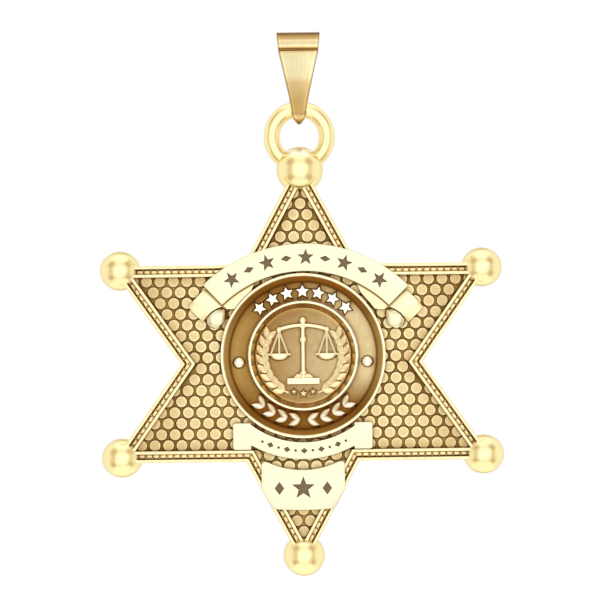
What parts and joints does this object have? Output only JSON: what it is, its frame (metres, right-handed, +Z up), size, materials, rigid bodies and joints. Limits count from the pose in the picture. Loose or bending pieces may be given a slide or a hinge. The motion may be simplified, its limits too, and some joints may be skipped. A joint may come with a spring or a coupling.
{
  "type": "sheriff star badge pendant",
  "caption": "Star badge pendant with ball tips, beaded rims, pebbled field, round seal, arched banner, ribbon and plate, soldered to a ring that swings in a tapered bail.",
  "frame": {"origin": "inner top of the bail's eye, where a chain bears", "axes": "+Z up, -Y out of the badge's front, +X to the right as the front is seen"},
  "size_m": [0.032, 0.0038, 0.0434],
  "materials": {
    "polished_gold": "polished yellow gold",
    "star_gold": "cast yellow gold, polished on the balls, ring and ridges, dark antique finish in the field's recesses",
    "antique_gold": "satin yellow gold with a brown antique finish in the recesses and bright raised ornament",
    "panel_gold": "pale polished yellow gold with engraved marks filled dark brown"
  },
  "bodies": {
    "bail": {"bail": "polished_gold"},
    "drop": {"star_body": "star_gold", "seal": "antique_gold", "top_banner": "panel_gold", "lower_ribbon": "panel_gold", "number_plate": "panel_gold"}
  },
  "joints": [
    {"name": "drop_swing", "type": "hinge", "parent": "bail", "child": "drop", "pos_m": [0, 0, -0.00573], "axis": [1, 0, 0], "range_deg": [-130, 130]}
  ]
}
